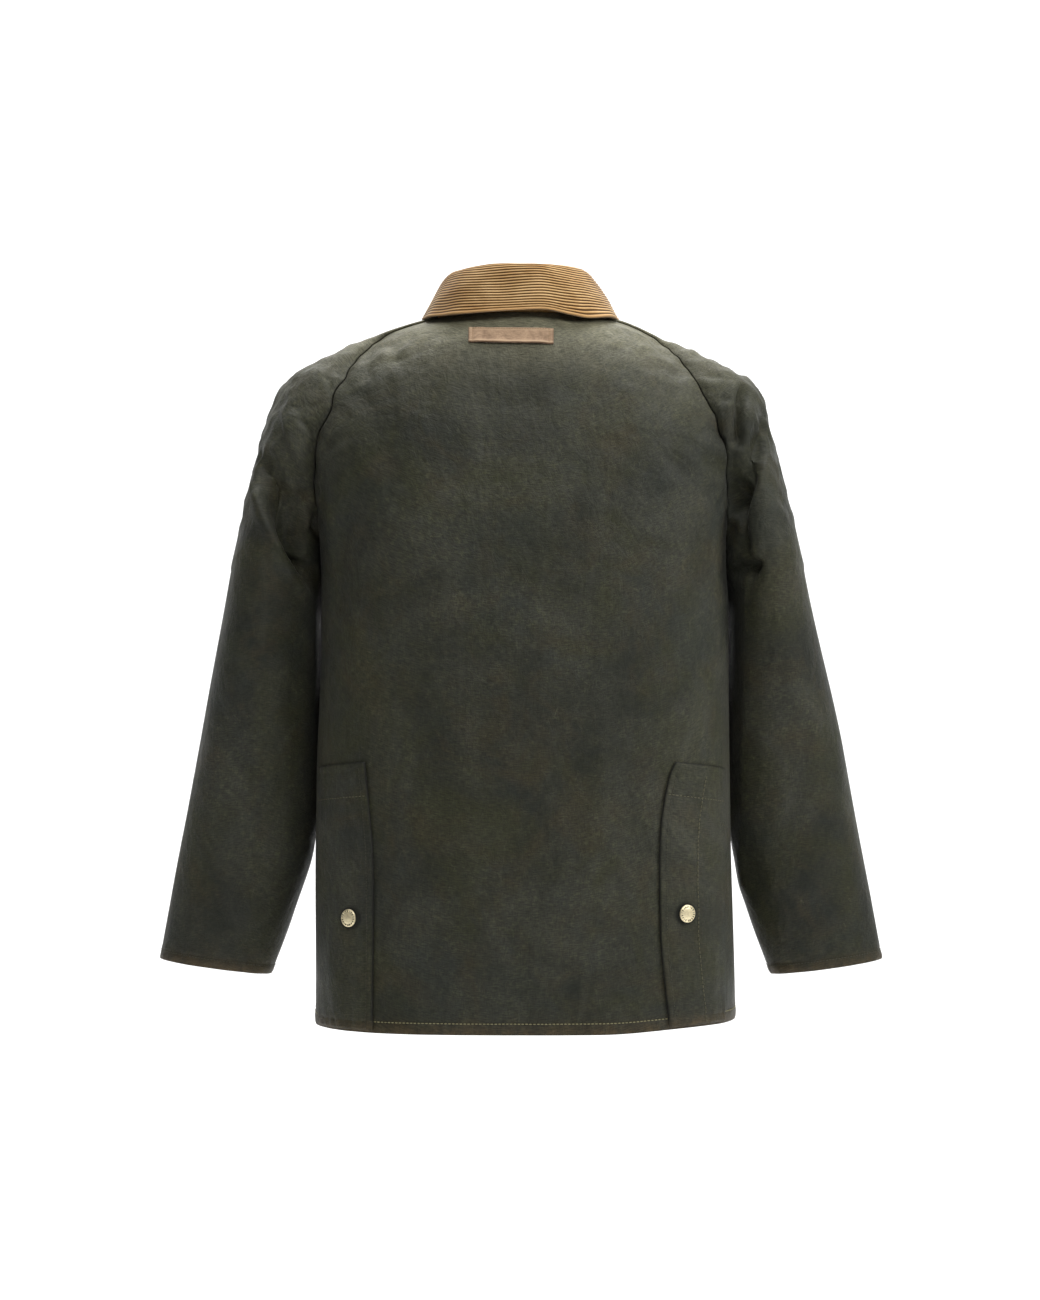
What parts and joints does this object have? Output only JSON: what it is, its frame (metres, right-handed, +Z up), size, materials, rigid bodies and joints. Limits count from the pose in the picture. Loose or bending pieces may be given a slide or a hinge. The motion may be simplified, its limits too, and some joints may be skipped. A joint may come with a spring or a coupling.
{
  "type": "waxed cotton jacket",
  "caption": "Hip-length waxed cotton jacket, filled out with no wearer: raglan sleeves, turned-down corduroy collar, studded side vents and a front zip.",
  "frame": {"origin": "middle of the neck, level with the shoulders that carry the jacket", "axes": "+Z up, the back of the jacket faces +Y and its front -Y, the wearer's left is +X"},
  "size_m": [0.75, 0.282, 0.7637],
  "materials": {
    "waxed_cotton": "waxed",
    "corduroy": "corduroy",
    "label": "woven",
    "brass": "satin",
    "zip_tape": "woven"
  },
  "bodies": {
    "jacket": {"back": "waxed_cotton", "front_left": "waxed_cotton", "front_right": "waxed_cotton", "sleeve_left": "waxed_cotton", "sleeve_right": "waxed_cotton", "collar": "corduroy", "vent_flap_left": "waxed_cotton", "vent_flap_right": "waxed_cotton", "vent_stud_left": "brass", "vent_stud_right": "brass", "label_patch": "label", "zip_tape_left": "zip_tape", "zip_tape_right": "zip_tape", "zip_chain": "brass", "zip_slider": "brass"},
    "zip_pull": {"zip_pull": "brass"}
  },
  "joints": [
    {"name": "zip_pull_swing", "type": "hinge", "parent": "jacket", "child": "zip_pull", "pos_m": [0, -0.10148, -0.0913], "axis": [-1, 0, 0], "range_deg": [0, 150]}
  ]
}
